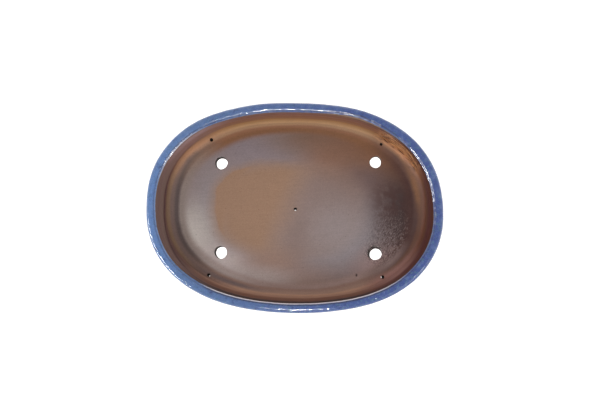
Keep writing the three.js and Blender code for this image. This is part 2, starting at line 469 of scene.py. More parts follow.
def hole_rings(outline, end):
    """Rings round a hole, as flat points and how far each is sunk, for the rounding of its edge."""
    turn, radius, centre = outline
    big = radius.mean() > LARGEST_WIRE_HOLE
    rounding = EDGE_ROUNDING[end] * (1 if big else WIRE_ROUNDING)
    steps = np.linspace(0, math.pi / 2, 6)
    spread = [(rounding * (1 - math.cos(a)), rounding * (1 - math.sin(a))) for a in steps]
    extra = (6 if end == "top" else 2) if big else 1
    spread += [(rounding + 0.55 * i, 0) for i in range(1, extra)]
    flat = []
    sunk = []
    for distance, depth in spread:
        r = radius + distance
        flat.append(np.stack([centre[0] + r * np.cos(turn), centre[1] + r * np.sin(turn)], 1))
        sunk.append(np.full(len(turn), depth))
    return np.concatenate(flat), np.concatenate(sunk), radius.mean() + spread[-1][0]


def scatter(low_inset, extra):
    """Points of a triangle grid over the oval inside an inset, and extra rings and patches."""
    columns = np.arange(-HALF_LENGTH, HALF_LENGTH, GRID)
    x, y = np.meshgrid(columns, np.arange(-HALF_WIDTH, HALF_WIDTH, GRID * 0.87))
    x = x + (np.arange(x.shape[0])[:, None] % 2) * GRID / 2
    grid = np.stack([x.ravel(), y.ravel()], 1)
    grid = grid[inset_of(grid[:, 0], grid[:, 1]) > low_inset + GRID * 0.6]
    near_pit = np.hypot(grid[:, 0] - PIT[0], grid[:, 1] - PIT[1]) < PIT_PATCH + 0.3
    return [grid[~near_pit]] + extra


def pit_patch():
    """A finer grid where the gouge is."""
    ticks = np.arange(-2.8, PIT_PATCH, 0.35)
    x, y = np.meshgrid(ticks, ticks)
    keep = np.hypot(x, y) < PIT_PATCH
    return np.stack([x[keep] + PIT[0], y[keep] + PIT[1]], 1)


def perforated_sheet(edge_inset, loose, end, height):
    """A sheet with holes: its points, its triangles, and each hole's innermost loop."""
    outline = ring_points(np.array([[edge_inset]]), 0.0)[:, :2]
    holes = [hole_outline(hole, end) for hole in DRAINS + WIRES]
    blocks = [outline]
    sunk = [np.zeros(len(outline))]
    loops = []
    clear = []
    count = len(outline)
    for hole in holes:
        flat, depth, reach = hole_rings(hole, end)
        loops.append(list(range(count, count + len(hole[0]))))
        blocks.append(flat)
        sunk.append(depth)
        clear.append(reach + 0.45)
        count += len(flat)
    for block in loose:
        keep = np.ones(len(block), bool)
        for (_, _, centre), reach in zip(holes, clear):
            keep &= np.hypot(block[:, 0] - centre[0], block[:, 1] - centre[1]) > reach
        blocks.append(block[keep])
        sunk.append(np.zeros(keep.sum()))
    flat = np.concatenate(blocks)
    sunk = np.concatenate(sunk)
    edges = [(i, (i + 1) % len(outline)) for i in range(len(outline))]
    for loop in loops:
        edges += [(a, b) for a, b in zip(loop, loop[1:] + loop[:1])]
    flat_vectors = [Vector(p) for p in flat.tolist()]
    _, _, triangles, origins, _, _ = delaunay_2d_cdt(flat_vectors, edges, [], 1, 1e-6)
    source = np.array([o[0] for o in origins])
    corners = source[np.array(triangles)]
    # Triangles whose middle lies in a hole are left out.
    middle = flat[corners].mean(1)
    solid = np.ones(len(corners), bool)
    for turn, radius, centre in holes:
        offset = middle - centre
        at = np.arctan2(offset[:, 1], offset[:, 0]) % (2 * math.pi)
        edge = np.interp(at, np.append(turn, 2 * math.pi), np.append(radius, radius[0]))
        solid &= np.hypot(offset[:, 0], offset[:, 1]) > edge * 0.997
    sign = 1 if end == "top" else -1
    points = np.column_stack([flat, height(flat[:, 0], flat[:, 1]) - sign * sunk])
    return points, corners[solid], loops


def under_height(x, y):
    return np.full(np.shape(x), UNDERSIDE)


def cove_rows():
    """Insets and heights of the rings from the wall's foot to the edge of the floor's sheet."""
    wide, tall = cove_radii(STATION_ANGLES)
    rows = []
    for t in np.linspace(0, 1, 5)[:-1]:
        inset = BASE_SEAM_INSIDE + (COVE_TOP_INSIDE - BASE_SEAM_INSIDE) * t
        rows.append((np.full(STATIONS, inset), BASE_SEAM + (FLOOR_TOP + tall - BASE_SEAM) * t))
    stop = np.arccos(1 - (FLOOR_SHEET - COVE_TOP_INSIDE) / wide)
    for t in np.linspace(0, 1, 7):
        a = stop * t
        rows.append((COVE_TOP_INSIDE + wide * (1 - np.cos(a)), FLOOR_TOP + tall * (1 - np.sin(a))))
    return np.array([r[0] for r in rows]), np.array([r[1] for r in rows])


def make_base(material):
    outside = resample(chain(HEEL, FLANK), 1.0)
    cove_insets, cove_heights = cove_rows()
    insets = np.concatenate([np.repeat(outside[:, :1], STATIONS, 1), cove_insets])
    heights = np.concatenate([np.repeat(outside[:, 1:], STATIONS, 1), cove_heights])
    rows = len(insets)
    rings = ring_points(insets, heights)
    split = len(outside) * STATIONS

    # Rings of points follow the cove, closest together where it is steep.
    follow_insets = FLOOR_SHEET + 7.2 * np.linspace(0, 1, 15)[1:] ** 1.35
    follow = [ring_points(np.array([[inset]]), 0.0)[:, :2] for inset in follow_insets]
    floor_points = scatter(20, follow + [pit_patch()])
    top, top_faces, top_loops = perforated_sheet(FLOOR_SHEET, floor_points, "top", floor_height)
    under_points = scatter(UNDERSIDE_EDGE, [])
    low, low_faces, low_loops = perforated_sheet(UNDERSIDE_EDGE, under_points, "low", under_height)
    low[:, 2] += 0.12 * wander(low, 18, 5) * smooth(inset_of(low[:, 0], low[:, 1]), 10, 24)

    rings[split:] = with_relief(rings[split:])
    top = with_relief(top)
    blocks = [handmade(rings), handmade(top), handmade(low)]
    is_inside = [np.arange(len(rings)) >= split, np.ones(len(top)), np.zeros(len(low))]
    is_bore = [np.zeros(len(rings) + len(top) + len(low))]
    top_start = len(rings)
    low_start = top_start + len(top)
    count = low_start + len(low)

    # The sheets' outer loops are the last and the first of the rings.
    top_index = top_start + np.arange(len(top))
    top_index[:STATIONS] = (rows - 1) * STATIONS + np.arange(STATIONS)
    low_index = low_start + np.arange(len(low))
    low_index[:STATIONS] = np.arange(STATIONS)
    faces = ring_faces(rows, False)
    faces += top_index[top_faces].tolist()
    faces += low_index[low_faces][:, ::-1].tolist()

    for upper, lower in zip(top_loops, low_loops):
        previous = top_index[upper]
        for ring in hole_wall_rings(blocks[1][upper], blocks[2][lower]):
            index = count + np.arange(len(ring))
            blocks.append(ring)
            is_inside.append(np.zeros(len(ring)))
            is_bore.append(np.ones(len(ring)))
            count += len(ring)
            faces += wall_strip(previous, index)
            previous = index
        faces += wall_strip(previous, low_index[lower])

    points = np.concatenate(blocks)
    x, y = points[:, 0], points[:, 1]
    attributes = {
        "cove": into_cove(inset_of(x, y), np.arctan2(y, x)),
        "inside": np.concatenate(is_inside),
        "bore": np.concatenate(is_bore),
    }
    points, faces, attributes = without_unused(points, faces, attributes)
    make_piece("base", points, faces, material, "base", attributes)


def hole_wall_rings(high_points, low_points):
    """Rings between a hole's two ends, slightly rough from the cutter."""
    centre = (high_points.mean(0) + low_points.mean(0)) / 2
    steps = 7
    for i in range(1, steps):
        t = i / steps
        ring = high_points * (1 - t) + low_points * t
        out = ring[:, :2] - centre[:2]
        out /= np.linalg.norm(out, axis=1)[:, None]
        ring[:, :2] += out * (0.10 * wander(ring, 2.5, 6))[:, None]
        yield ring


def without_unused(points, faces, attributes):
    """Drops the points that no face uses."""
    used = np.unique(np.concatenate([np.ravel(f) for f in faces]))
    renumber = np.zeros(len(points), int)
    renumber[used] = np.arange(len(used))
    faces = [tuple(renumber[list(f)]) for f in faces]
    return points[used], faces, {key: values[used] for key, values in attributes.items()}


def wall_strip(upper, lower):
    """Faces between two closed loops of points."""
    n = len(upper)
    return [(upper[k], upper[(k + 1) % n], lower[(k + 1) % n], lower[k]) for k in range(n)]


# ---------------------------------------------------------------- the glaze coat
GLAZED = chain(HEEL, FLANK, SIDE, LIP_UNDERSIDE, SHOULDER, BRINK, BORE)
BRINK_END = arc_length(GLAZED)[-1] - arc_length(BORE)[-1]
GLAZE_START = 2.6
GLAZE_ROWS = 150

# Where the clay shows higher up inside the lip: direction and reach in degrees, and by how much.
BARE_LIP = (49, 15, 1.8)

# How much the rows crowd towards the coat's two rounded edges, and how far its back reaches into the
# clay.
CROWDING = 0.075
COAT_BACK = 0.12


def glaze_thickness(s, start, end, points):
    """Thickness of the glaze at lengths s along the profile, between its two wavy ends."""
    from_start = s - start
    from_end = end - s
    body = GLAZE * (0.86 + 0.14 * smooth(from_start, 6, 30))
    bead = 0.34 * bell(from_start, 1.3, 1.0)
    lip_bead = 0.16 * bell(from_end, 0.7, 0.45)
    thin_edge = 0.34 * smooth(4.0 - from_end, 0, 3)
    low = np.sqrt(np.clip(from_start / 1.1, 0, 1))
    high = np.sqrt(np.clip(from_end / 0.7, 0, 1))
    ripple = 0.09 * wander(points, 8, 11) + 0.045 * wander(points, 3.4, 12)
    skin = (body + bead + lip_bead - thin_edge + ripple) * low * high
    return skin - 0.06 * (1 - np.minimum(low, high))


def there_and_back(values):
    """Values for the rows up a skin and back down behind it."""
    return np.concatenate([values, values[::-1]])


def make_glaze(material):
    """A skin over the outside and the lip, with rolled edges above the heel and inside the lip."""
    a = STATION_ANGLES
    round_way = np.stack([np.cos(a) * HALF_LENGTH, np.sin(a) * HALF_WIDTH, 0 * a], 1)
    start = GLAZE_START + 0.55 * wander(round_way, 22, 13) + 0.2 * wander(round_way, 7, 14)
    end = BRINK_END - 0.7 + 0.4 * wander(round_way, 30, 15) + 0.2 * wander(round_way, 6, 16)
    direction, spread, retreat = BARE_LIP
    heading = np.degrees(np.arctan2(round_way[:, 1], round_way[:, 0]))
    end -= bell(heading, direction, spread) * (retreat + 0.7 * wander(round_way, 5, 62))
    t = np.linspace(0, 1, GLAZE_ROWS)[:, None]
    t = t - CROWDING * np.sin(2 * math.pi * t)
    s = start[None, :] + (end - start)[None, :] * t
    clay = along(GLAZED, s)
    way = along(GLAZED, s + 0.15) - along(GLAZED, s - 0.15)
    way /= np.linalg.norm(way, axis=-1, keepdims=True)
    out = np.stack([-way[..., 1], way[..., 0]], -1)
    flat = ring_points(clay[..., 0], clay[..., 1])
    thick = glaze_thickness(s.ravel(), np.tile(start, GLAZE_ROWS), np.tile(end, GLAZE_ROWS), flat)
    thick = thick.reshape(s.shape)
    skin = clay + out * thick[..., None]
    back = clay - out * COAT_BACK
    rows = np.concatenate([skin, back[::-1]])
    points = ring_points(rows[..., 0], rows[..., 1])
    attributes = {
        "from_lip_edge": there_and_back(end[None, :] - s).ravel(),
        "from_foot_edge": there_and_back(s - start[None, :]).ravel(),
        "thickness": there_and_back(thick).ravel(),
    }
    faces = ring_faces(len(rows), True)
    make_piece("glaze_coat", handmade(points), faces, material, "glaze_coat", attributes)


# ---------------------------------------------------------------- feet
def rounded(corners, radii):
    """An open run through corners, with every inner corner rounded."""
    run = [corners[0]]
    for i in range(1, len(corners) - 1):
        corner = corners[i]
        back = corners[i - 1] - corner
        ahead = corners[i + 1] - corner
        start = corner + back / np.linalg.norm(back) * radii[i - 1]
        stop = corner + ahead / np.linalg.norm(ahead) * radii[i - 1]
        for t in np.linspace(0, 1, 6):
            run.append((1 - t) ** 2 * start + 2 * t * (1 - t) * corner + t * t * stop)
    run.append(corners[-1])
    return np.array(run)


def foot_section(share):
    """A foot's section, [inset, height], at a share of its length from tip to tip."""
    tip = min(share, 1 - share) / FOOT_OGEE
    bottom = (UNDERSIDE - FOOT_TIP) * (1 - float(smooth(tip, 0, 1)))
    lean = FOOT_BATTER * (1 - bottom / UNDERSIDE)
    # The foot narrows towards both tips, so that its ends are round seen from below.
    nip = FOOT_NARROWING * (1 - math.sqrt(min(1, max(tip * 2.2, 0.02))))
    outer = FOOT_OUTSIDE + nip
    inner = FOOT_INSIDE - nip
    waist = bottom + (UNDERSIDE - bottom) * 0.55
    corners = [
        (outer - FOOT_FLARE, UNDERSIDE + 0.3),
        (outer - FOOT_FLARE * 0.5, UNDERSIDE - 0.5),
        (outer + lean * 0.35, waist),
        (outer + lean, bottom),
        (inner - lean, bottom),
        (inner - lean * 0.35, waist),
        (inner + FOOT_FLARE * 0.5, UNDERSIDE - 0.5),
        (inner + FOOT_FLARE, UNDERSIDE + 0.3),
    ]
    low = min(1.3, (UNDERSIDE - bottom) * 0.3)
    return rounded(np.array(corners), [0.4, low * 0.6, low, low, low * 0.6, 0.4])


def foot_mesh(sections, towards_x, towards_y):
    """Sweeps closed sections from one foot tip to the other, and fills the two ends."""
    count = len(sections[0])
    points = []
    for k, section in enumerate(sections):
        angle = FOOT_START + (FOOT_END - FOOT_START) * k / (len(sections) - 1)
        x, y = oval(angle, section[:, 0])
        points.append(np.stack([towards_x * x, towards_y * y, section[:, 1]], 1))
    faces = []
    for k in range(len(sections) - 1):
        for i in range(count):
            j = (i + 1) % count
            a, b = k * count, (k + 1) * count
            faces.append((a + i, a + j, b + j, b + i))
    far = (len(sections) - 1) * count
    faces.append(tuple(range(count))[::-1])
    faces.append(tuple(far + i for i in range(count)))
    if towards_x * towards_y < 0:
        faces = [f[::-1] for f in faces]
    return np.concatenate(points), faces


def make_foot(name, towards_x, towards_y, material):
    sections = [foot_section(k / FOOT_STEPS) for k in range(FOOT_STEPS + 1)]
    points, faces = foot_mesh(sections, towards_x, towards_y)
    # The sole stays flat on the table.
    height = points[:, 2]
    points[:, 2] = np.where(height > 0.5, height + 0.06 * wander(points, 5, 21), height)
    zeros = np.zeros(len(points))
    attributes = {"cove": zeros, "inside": zeros}
    make_piece(name, handmade(points), faces, material, name, attributes)


def make_foot_glaze(name, towards_x, towards_y, material):
    """The glaze that runs down a foot's outer face and stops short of the table."""
    sections = []
    levels = []
    for k in range(FOOT_STEPS + 1):
        share = k / FOOT_STEPS
        section = foot_section(share)
        half = section[: len(section) // 2]
        lengths = arc_length(half)
        wave = 0.35 * math.sin(share * 17 + towards_x + 2 * towards_y)
        stop_height = section[:, 1].min() + FOOT_GLAZE_STOP + wave
        stop = max(0.9, float(np.interp(-stop_height, -half[:, 1], lengths)))
        s = np.linspace(0.05, stop, FOOT_GLAZE_ROWS)
        at = along(half, s)
        way = along(half, s + 0.1) - along(half, s - 0.1)
        way /= np.maximum(np.linalg.norm(way, axis=1, keepdims=True), 1e-9)
        out = np.stack([way[:, 1], -way[:, 0]], 1)
        tips = math.sqrt(min(1, min(share, 1 - share) / 0.05))
        ends = np.sqrt(np.clip((stop - s) / 0.9, 0, 1)) * tips
        bead = 1 + 0.45 * bell(stop - s, 1, 0.8)
        outer = at + out * (FOOT_GLAZE * bead * ends - 0.05 * (1 - ends))[:, None]
        inner = at - out * 0.1
        sections.append(np.concatenate([outer, inner[::-1]]))
        levels.append(there_and_back(stop - s))
    points, faces = foot_mesh(sections, towards_x, towards_y)
    attributes = {
        "from_lip_edge": np.full(len(points), FAR_FROM_LIP),
        "from_foot_edge": np.concatenate(levels),
        "thickness": np.full(len(points), FOOT_GLAZE),
    }
    make_piece(name, handmade(points), faces, material, None, attributes)


# ---------------------------------------------------------------- materials
def srgb(red, green, blue):
    """A colour given in 0 to 255 screen values, as linear light."""
    values = [c / 255 for c in (red, green, blue)]
    linear = [c / 12.92 if c <= 0.04045 else ((c + 0.055) / 1.055) ** 2.4 for c in values]
    return (*linear, 1.0)


class Amount:
    """A number that varies over a surface. Sums and products of it build the nodes that find it."""

    def __init__(self, graph, socket):
        self.graph = graph
        self.socket = socket

    def __add__(self, other):
        return self.graph.math("ADD", self, other)

    def __mul__(self, other):
        return self.graph.math("MULTIPLY", self, other)

    def __sub__(self, other):
        return self.graph.math("SUBTRACT", self, other)

    def __rsub__(self, other):
        return self.graph.math("SUBTRACT", other, self)

    def __truediv__(self, number):
        return self * (1 / number)

    __radd__ = __add__
    __rmul__ = __mul__


class Graph:
    """Short calls that build one material's nodes. Their arguments may be numbers or amounts."""

    def __init__(self, name):
        self.material = bpy.data.materials.new(name)
        self.material.use_nodes = True
        self.nodes = self.material.node_tree.nodes
        self.links = self.material.node_tree.links
        self.nodes.clear()
        self.shader = self.node("BsdfPrincipled")
        self.node("OutputMaterial", {"Surface": self.shader.outputs["BSDF"]})
        coordinates = self.node("TexCoord").outputs["Object"]
        scale = self.node("VectorMath", {0: coordinates, "Scale": 1 / MM}, operation="SCALE")
        self.place = scale.outputs[0]
        split = self.node("SeparateXYZ", {0: self.place})
        self.x, self.y, self.z = (Amount(self, socket) for socket in split.outputs)

    def node(self, kind, inputs=(), **settings):
        """A new shader node with these settings, and these values or sockets for its inputs."""
        node = self.nodes.new("ShaderNode" + kind)
        for name, value in settings.items():
            setattr(node, name, value)
        for name, value in dict(inputs).items():
            self.feed(node.inputs[name], value)
        return node

    def feed(self, socket, value):
        value = getattr(value, "socket", value)
        if isinstance(value, bpy.types.NodeSocket):
            self.links.new(value, socket)
        else:
            socket.default_value = value

    def set(self, name, value):
        """Sets or feeds a socket of the material's shader."""
        self.feed(self.shader.inputs[name], value)

    def math(self, operation, a, b=0.0):
        return Amount(self, self.node("Math", {0: a, 1: b}, operation=operation).outputs[0])

    def step(self, value, low, high, start=0.0, end=1.0):
        """Goes smoothly from start to end while value goes from low to high."""
        limits = {"From Min": low, "From Max": high, "To Min": start, "To Max": end}
        node = self.node("MapRange", {"Value": value, **limits}, interpolation_type="SMOOTHSTEP")
        return Amount(self, node.outputs["Result"])

    def band(self, value, centre, half):
        """1 at centre, falling smoothly to 0 at half either side of it."""
        return self.step(self.math("ABSOLUTE", value - centre), 0.0, half, 1.0, 0.0)

    def away(self, at, reach, x=None, y=None):
        """Distance from a point seen from above, as a share of an ellipse's reach."""
        u = ((x or self.x) - at[0]) / reach[0]
        v = ((y or self.y) - at[1]) / reach[1]
        return self.math("SQRT", u * u + v * v)

    def spot(self, at, reach, x=None, y=None):
        """1 at a point seen from above, falling to 0 at an ellipse round it."""
        return self.step(self.away(at, reach, x, y), 0.0, 1.0, 1.0, 0.0)

    def noise(self, size, detail, roughness, stretch=(1, 1, 1), turn=0.0, shift=0.0):
        """Noise from 0 to 1, 0.5 in the middle, whose lumps are about size millimetres across."""
        mapping = self.node("Mapping", {"Vector": self.place}, vector_type="TEXTURE")
        mapping.inputs["Location"].default_value = [shift * size * k for k in (1, 1.7, 0.6)]
        mapping.inputs["Rotation"].default_value = (0, 0, turn)
        mapping.inputs["Scale"].default_value = [size * k for k in stretch]
        looks = {"Scale": 1, "Detail": detail, "Roughness": roughness}
        node = self.node("TexNoise", {"Vector": mapping.outputs["Vector"], **looks})
        return Amount(self, node.outputs["Fac"])

    def mix(self, factor, a, b):
        return self.node("Mix", {0: factor, 6: a, 7: b}, data_type="RGBA").outputs[2]

    def tint(self, colour, *layers):
        """Lays tints over a colour in turn. Each is how strong it is and its screen colour."""
        for strength, shade in layers:
            colour = self.mix(strength, colour, srgb(*shade))
        return colour

    def shade(self, colour, factor):
        """Multiplies a colour by a number."""
        return self.node("VectorMath", {0: colour, "Scale": factor}, operation="SCALE").outputs[0]

    def attribute(self, name):
        return Amount(self, self.node("Attribute", attribute_name=name).outputs["Fac"])

    def bump(self, height, depth, normal=None):
        """Bumps the surface by height times depth, in millimetres."""
        node = self.node("Bump", {"Strength": 1, "Distance": depth * MM, "Height": height})
        if normal is not None:
            self.feed(node.inputs["Normal"], normal)
        return node.outputs["Normal"]


# Colours of the bare inside from the floor's edge up to the lip, at the pot's back, right, front
# and left. The kiln browned the back, greyed the left and scorched the right. The grey of the
# floor's edge on the left is partly a painted sheen, and the dark at the left cove's foot and under
# the lip at the front is painted shade.
INSIDE_SHADES = {
    # left: partly a painted sheen
    "floor_edge": ((134, 93, 64), (78, 48, 43), (160, 134, 126), (146, 131, 124)),
    # left: painted shade at the cove's foot
    "cove_low": ((139, 94, 64), (84, 57, 52), (150, 119, 106), (92, 77, 75)),
    "cove_middle": ((160, 122, 88), (106, 70, 54), (158, 126, 110), (119, 97, 90)),
    "cove_top": ((188, 148, 108), (118, 76, 58), (182, 142, 120), (134, 107, 86)),
    "wall_foot": ((184, 138, 92), (120, 80, 62), (178, 138, 117), (122, 92, 84)),
    "wall": ((146, 100, 76), (98, 56, 54), (126, 87, 71), (134, 110, 102)),
    # front: painted shade under the lip
    "under_lip": ((136, 93, 80), (96, 52, 43), (58, 44, 46), (128, 101, 96)),
}

# Cloudy patches on the floor: centre, reach, strength and colour, painted in this order. The pale
# grey ones marked below are painted sheen; the others are kiln bloom.
FLOOR_CLOUDS = [
    ((-50, 64), (80, 40), 0.75, (132, 120, 126)),
    ((10, 78), (74, 32), 0.8, (120, 92, 74)),
    # painted sheen on the left of the floor
    ((-94, 12), (26, 56), 0.5, (140, 133, 137)),
    ((32, 52), (42, 28), 0.45, (150, 104, 74)),
    ((96, 70), (125, 64), 1.0, (130, 88, 60)),
    ((-10, -92), (150, 46), 0.9, (152, 124, 112)),
    # painted sheen on the left and front left of the floor, this row and the next
    ((-118, -42), (50, 70), 1.0, (204, 195, 188)),
    ((-86, -68), (58, 40), 1.0, (204, 190, 187)),
    ((-24, -54), (54, 24), 0.6, (150, 114, 92)),
    ((108, 48), (30, 26), 0.5, (122, 82, 54)),
    ((78, 34), (34, 22), 0.45, (98, 82, 86)),
    # painted sheen at the front left
    ((-36, -78), (54, 22), 0.6, (190, 176, 172)),
    # painted sheen right of the middle
    ((50, -24), (68, 60), 0.85, (152, 147, 152)),
    ((2, -30), (20, 40), 0.4, (112, 94, 92)),
    ((126, 4), (60, 84), 1.0, (54, 32, 31)),
    ((104, -66), (58, 40), 1.0, (168, 140, 136)),
]

# Tints of the cove and wall: centre and reach, then the measure they follow (height in mm, or depth
# into the cove), where on it they rise and fall, their strength and their colour. The rows marked
# below are painted shade or painted sheen.
INSIDE_TINTS = [
    ((-112, 74), (62, 52), "height", (46, 54), None, 0.6, (178, 148, 150)),
    ((112, 62), (48, 44), "height", (17.5, 21), (58, 46), 1.0, (190, 130, 88)),
    # painted shade in the front left cove
    ((-100, -74), (52, 42), "height", (17.5, 20), (28, 23), 0.8, (104, 86, 84)),
    ((106, -57), (40, 34), "depth", (0.38, 0.88), (1.38, 0.88), 0.9, (146, 124, 120)),
    # painted sheen at the front left floor's edge
    ((-84, -74), (72, 46), "depth", (0.6, 1.05), (1.5, 1.05), 0.5, (204, 194, 190)),
    ((130, 30), (36, 42), "depth", (0.08, 0.5), (0.92, 0.5), 0.85, (152, 104, 66)),
    # painted shade in the front left cove
    ((-66, -82), (60, 34), "depth", (0.08, 0.42), (0.76, 0.42), 0.8, (108, 94, 96)),
    ((-118, 58), (44, 44), "depth", (0.35, 0.8), (1.25, 0.8), 0.6, (154, 126, 106)),
    ((-120, -48), (40, 32), "height", (27, 37), (47, 37), 0.6, (90, 62, 66)),
    ((106, -66), (58, 44), "height", (17.5, 21), (46, 36), 1.0, (164, 121, 113)),
]
COVE_FOOT = (17.5, 21)

# The paler mark on the floor is a superellipse with this middle, reach and exponent.
MARK_AT = (-9.5, -1)
MARK_REACH = (78, 48.5)
MARK_EXPONENT = 2.8


def by_side(g, shades, x, y):
    """Blends the colours of the pot's four sides round the pot."""
    back, right, front, left = shades
    colour = g.mix(g.step(y, -55, 70), srgb(*front), srgb(*back))
    return g.tint(colour, (g.step(x, 62, 122), right), (g.step(x, -74, -122), left))


def floor_colour(g, x, y):
    """A greyish purple kiln bloom round a paler tan mark, where another pot stood in the kiln. It is
    lighter and greyer to the left partly as a painted sheen, and some of its clouds are painted
    sheen.
    Returns the colour and where the mark is."""
    # Lighter and greyer to the left: partly kiln bloom, partly a painted sheen.
    colour = g.mix(g.step(x, -70, 120), srgb(146, 130, 128), srgb(112, 91, 88))
    for at, reach, strength, shade in FLOOR_CLOUDS:
        colour = g.tint(colour, (g.spot(at, reach, x, y) * strength, shade))
    # The mark is sharp on its left side and fades out along a slanting line past its middle.
    ring = 0.0
    for value, middle, reach in zip((x, y), MARK_AT, MARK_REACH):
        share = g.math("ABSOLUTE", (value - middle) / reach)
        ring = ring + g.math("POWER", share, MARK_EXPONENT)
    slant = x * 0.925 - y * 0.38
    crisp = g.step(ring, 0.86, 1.04, 1, 0) * g.step(slant, -70, -34, 1, 0)
    soft = g.step(ring, 0.45, 1.45, 1, 0) * g.step(slant, -26, 12, 1, 0)
    mark = g.math("MAXIMUM", crisp, soft)
    halo = g.step(ring, 0.7, 1.7, 1, 0) * g.step(slant, -60, 0, 0.08, 0.4)
    return g.tint(colour, (halo, (146, 118, 104)), (mark, (155, 122, 99))), mark


def inside_colour(g, colour, cove, uneven, mottled):
    """Paints the cove and the wall over the floor's colour, from the floor's edge up to the lip."""
    x = g.x + uneven * 16
    y = g.y - uneven * 12
    depth = cove + uneven * 0.16
    height = g.z + uneven * 3.0
    bands = (
        ("floor_edge", g.step(depth, 1.75, 1.05)),
        ("cove_low", g.step(depth, 0.98, 0.72)),
        ("cove_middle", g.step(depth, 0.62, 0.36)),
        ("cove_top", g.step(depth, 0.30, 0.12)),
        ("wall_foot", g.step(height, 24.0, 27.5)),
        ("wall", g.step(height, 29.0, 38.0)),
        ("under_lip", g.step(height, 44.0, 52.0)),
    )
    for name, reached in bands:
        colour = g.mix(reached, colour, by_side(g, INSIDE_SHADES[name], x, y))

    # The back left is orange at the wall's foot and purple, in patches, above it.
    back_left = g.spot((-112, 66), (62, 58), x, y) * g.step(height, *COVE_FOOT)
    orange = back_left * g.step(height, 36, 29)
    purple = back_left * g.step(height, 28, 35) * g.step(mottled, 0.55, 0.85, 1.0, 0.5)
    colour = g.tint(colour, (orange, (190, 142, 108)), (purple, (150, 114, 108)))
    for at, reach, measure, rise, fall, strength, shade in INSIDE_TINTS:
        level = height if measure == "height" else depth
        here = g.spot(at, reach, x, y) * g.step(level, *rise) * strength
        if fall:
            here = here * g.step(level, *fall)
        colour = g.tint(colour, (here, shade))

    # A dark line follows the pressed line on the left, and the wall is darker right under the lip,
    # most to the right and the front.
    forward = g.math("MINIMUM", g.y, 0.0)
    line_height = SEAM_LINE + forward * forward * SEAM_CLIMB
    seam = g.band(g.z - line_height + uneven * 2, 0.0, 4.2)
    seam = seam * g.step(g.x, -70, -118, 0.1, 0.75) * g.step(g.y, 20, 70, 1.0, 0.35)
    dark_under_lip = g.step(g.z, 55, 61) * g.step(g.x - g.y, -140, 40, 0.15, 0.7)
    return g.tint(colour, (seam, (82, 54, 60)), (dark_under_lip, (52, 36, 40)))


def scraped_colour(g, colour, scraped, scratches, patchy):
    """Grains the scraped clay dark, with light grains that are painted glints, and paints crumbs
    round the torn drain hole.
    """
    crumbs = g.noise(1.3, 2, 0.5, shift=41)
    grained = scratches * 0.6 + crumbs * 0.4
    burnt = g.spot((104, 10), (36, 34)) * g.step(patchy, 0.38, 0.60) * 0.75
    torn = g.spot(TORN_DRAIN["at"], (15, 15))
    return g.tint(
        colour,
        (scraped * g.step(grained, 0.52, 0.42) * 0.70, (50, 30, 30)),
        # painted glints: light grains on the scraped clay
        (scraped * g.step(grained, 0.52, 0.64) * 0.36, (182, 164, 160)),
        (burnt, (72, 42, 38)),
        (torn * g.step(crumbs, 0.54, 0.42) * 0.9, (56, 34, 32)),
        (torn * g.step(crumbs, 0.55, 0.64) * 0.7, (188, 164, 158)),
        # painted shade in the gouge
        (g.spot(PIT, (1.6, 2.4)), (40, 26, 26)),
    )


